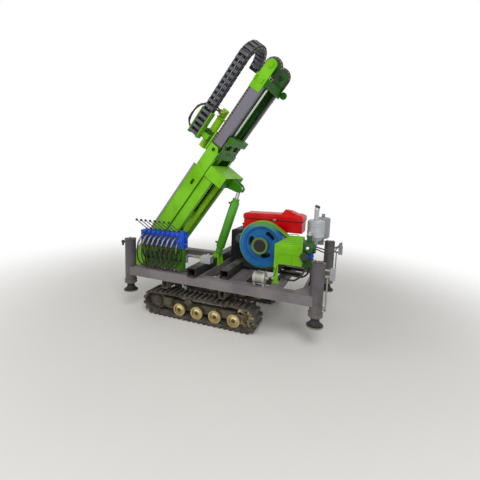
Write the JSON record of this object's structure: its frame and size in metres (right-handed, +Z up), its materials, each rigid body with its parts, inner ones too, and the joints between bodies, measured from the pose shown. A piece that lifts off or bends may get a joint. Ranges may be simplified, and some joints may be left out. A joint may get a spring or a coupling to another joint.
{
  "type": "crawler pile driver and drilling rig",
  "caption": "Small self-propelled crawler pile driving and drilling rig with a leaning telescopic mast, hydraulic rotary head, diesel engine and corner jacks.",
  "frame": {"origin": "on the ground, midway between the four jacks", "axes": "+X from the mast end towards the engine end, +Y towards the far side, +Z up"},
  "size_m": [2.3828, 1.126, 2.8547],
  "materials": {
    "green": "semi-gloss paint, worn",
    "dark_green": "semi-gloss paint",
    "rail_grey": "matt paint, worn edges",
    "jack_grey": "satin paint, dusty",
    "black_paint": "satin paint, oily",
    "track_rubber": "dusty rubber",
    "undercarriage": "dusty paint",
    "zinc_yellow": "yellow zinc plate",
    "olive": "dusty casting",
    "engine_dark": "oily casting",
    "tank_red": "gloss paint",
    "fly_blue": "gloss paint",
    "valve_blue": "gloss paint",
    "silver_paint": "aluminium paint",
    "bare_aluminium": "cast, dusty",
    "bright_steel": "polished rod",
    "worn_steel": "ground by wear",
    "chain_steel": "oiled chain",
    "black_plastic": "moulded",
    "hose_rubber": "hose cover",
    "belt_rubber": "rubber with paint overspray"
  },
  "bodies": {
    "chassis": {"main_frame": "rail_grey", "pivot_posts": "black_paint", "tilt_lug": "green", "jack_barrels": "jack_grey", "jack_lock_valves": "silver_paint", "track_frames": "undercarriage", "track_near": "track_rubber", "track_far": "track_rubber", "drive_sprockets": "undercarriage", "idler_wheels": "zinc_yellow", "road_wheels": "zinc_yellow", "carrier_rollers": "undercarriage", "travel_motors": "olive", "engine_block": "engine_dark", "engine_mounts": "black_paint", "fuel_tank": "tank_red", "air_cleaner": "silver_paint", "muffler": "silver_paint", "belt_guard": "green", "pump_set": "dark_green", "v_belts": "belt_rubber", "oil_tank": "black_paint", "valve_bank": "valve_blue", "valve_levers": "black_plastic", "valve_stand": "green", "valve_hoses": "hose_rubber", "engine_hoses": "hose_rubber", "cross_tube": "black_paint", "steel_pipe": "bright_steel", "alternator": "bare_aluminium"},
    "flywheel": {"flywheel": "fly_blue"},
    "tilt_frame": {"tilt_frame": "green", "slide_barrel": "green"},
    "outer_mast": {"outer_mast": "green", "guide_strips": "bright_steel", "slide_rod": "bright_steel", "lift_barrel": "green"},
    "inner_mast": {"inner_mast": "worn_steel", "mast_head": "green", "head_sprockets": "dark_green", "lift_rod": "bright_steel", "feed_chain": "chain_steel", "energy_chain": "black_plastic"},
    "carriage": {"carriage": "green", "rotary_gearbox": "dark_green", "hydraulic_motor": "green", "chain_trough": "green", "head_hoses": "hose_rubber"},
    "spindle": {"spindle": "bright_steel"},
    "tilt_barrel": {"tilt_barrel": "green"},
    "tilt_rod": {"tilt_rod": "bright_steel"},
    "jack_leg_near_mast": {"jack_leg_near_mast": "jack_grey"},
    "jack_leg_near_engine": {"jack_leg_near_engine": "jack_grey"},
    "jack_leg_far_mast": {"jack_leg_far_mast": "jack_grey"},
    "jack_leg_far_engine": {"jack_leg_far_engine": "jack_grey"}
  },
  "joints": [
    {"name": "flywheel_turn", "type": "hinge", "parent": "chassis", "child": "flywheel", "pos_m": [0.387, -0.145, 0.831], "axis": [0, 1, 0], "continuous": true},
    {"name": "mast_tilt", "type": "hinge", "parent": "chassis", "child": "tilt_frame", "pos_m": [-0.88, 0, 0.56], "axis": [0, -1, 0], "range_deg": [0, 36.5]},
    {"name": "mast_slide", "type": "slide", "parent": "tilt_frame", "child": "outer_mast", "axis": [-0.5948, 0, -0.8039], "range_m": [0, 0.25]},
    {"name": "mast_extend", "type": "slide", "parent": "outer_mast", "child": "inner_mast", "axis": [0.5948, 0, 0.8039], "range_m": [-0.55, 0.25]},
    {"name": "carriage_feed", "type": "slide", "parent": "inner_mast", "child": "carriage", "axis": [0.5948, 0, 0.8039], "range_m": [-0.55, 0.25]},
    {"name": "spindle_turn", "type": "hinge", "parent": "carriage", "child": "spindle", "pos_m": [-0.37442, 0, 1.86529], "axis": [0.5948, 0, 0.8039], "continuous": true},
    {"name": "tilt_cylinder_swing", "type": "hinge", "parent": "chassis", "child": "tilt_barrel", "pos_m": [-0.19, 0, 0.6], "axis": [0, -1, 0], "range_deg": [0, 37.59]},
    {"name": "tilt_rod_slide", "type": "slide", "parent": "tilt_barrel", "child": "tilt_rod", "axis": [0.3078, 0, 0.9514], "range_m": [0, 0.433]},
    {"name": "jack_near_mast_slide", "type": "slide", "parent": "chassis", "child": "jack_leg_near_mast", "axis": [0, 0, -1], "range_m": [0, 0.3]},
    {"name": "jack_near_engine_slide", "type": "slide", "parent": "chassis", "child": "jack_leg_near_engine", "axis": [0, 0, -1], "range_m": [0, 0.3]},
    {"name": "jack_far_mast_slide", "type": "slide", "parent": "chassis", "child": "jack_leg_far_mast", "axis": [0, 0, -1], "range_m": [0, 0.3]},
    {"name": "jack_far_engine_slide", "type": "slide", "parent": "chassis", "child": "jack_leg_far_engine", "axis": [0, 0, -1], "range_m": [0, 0.3]}
  ],
  "couplings": [
    {"joint": "tilt_cylinder_swing", "follows": "mast_tilt", "ratio": 1.0285},
    {"joint": "tilt_rod_slide", "follows": "mast_tilt", "m_per_rad": 0.6789},
    {"joint": "carriage_feed", "follows": "mast_extend", "ratio": 1}
  ]
}
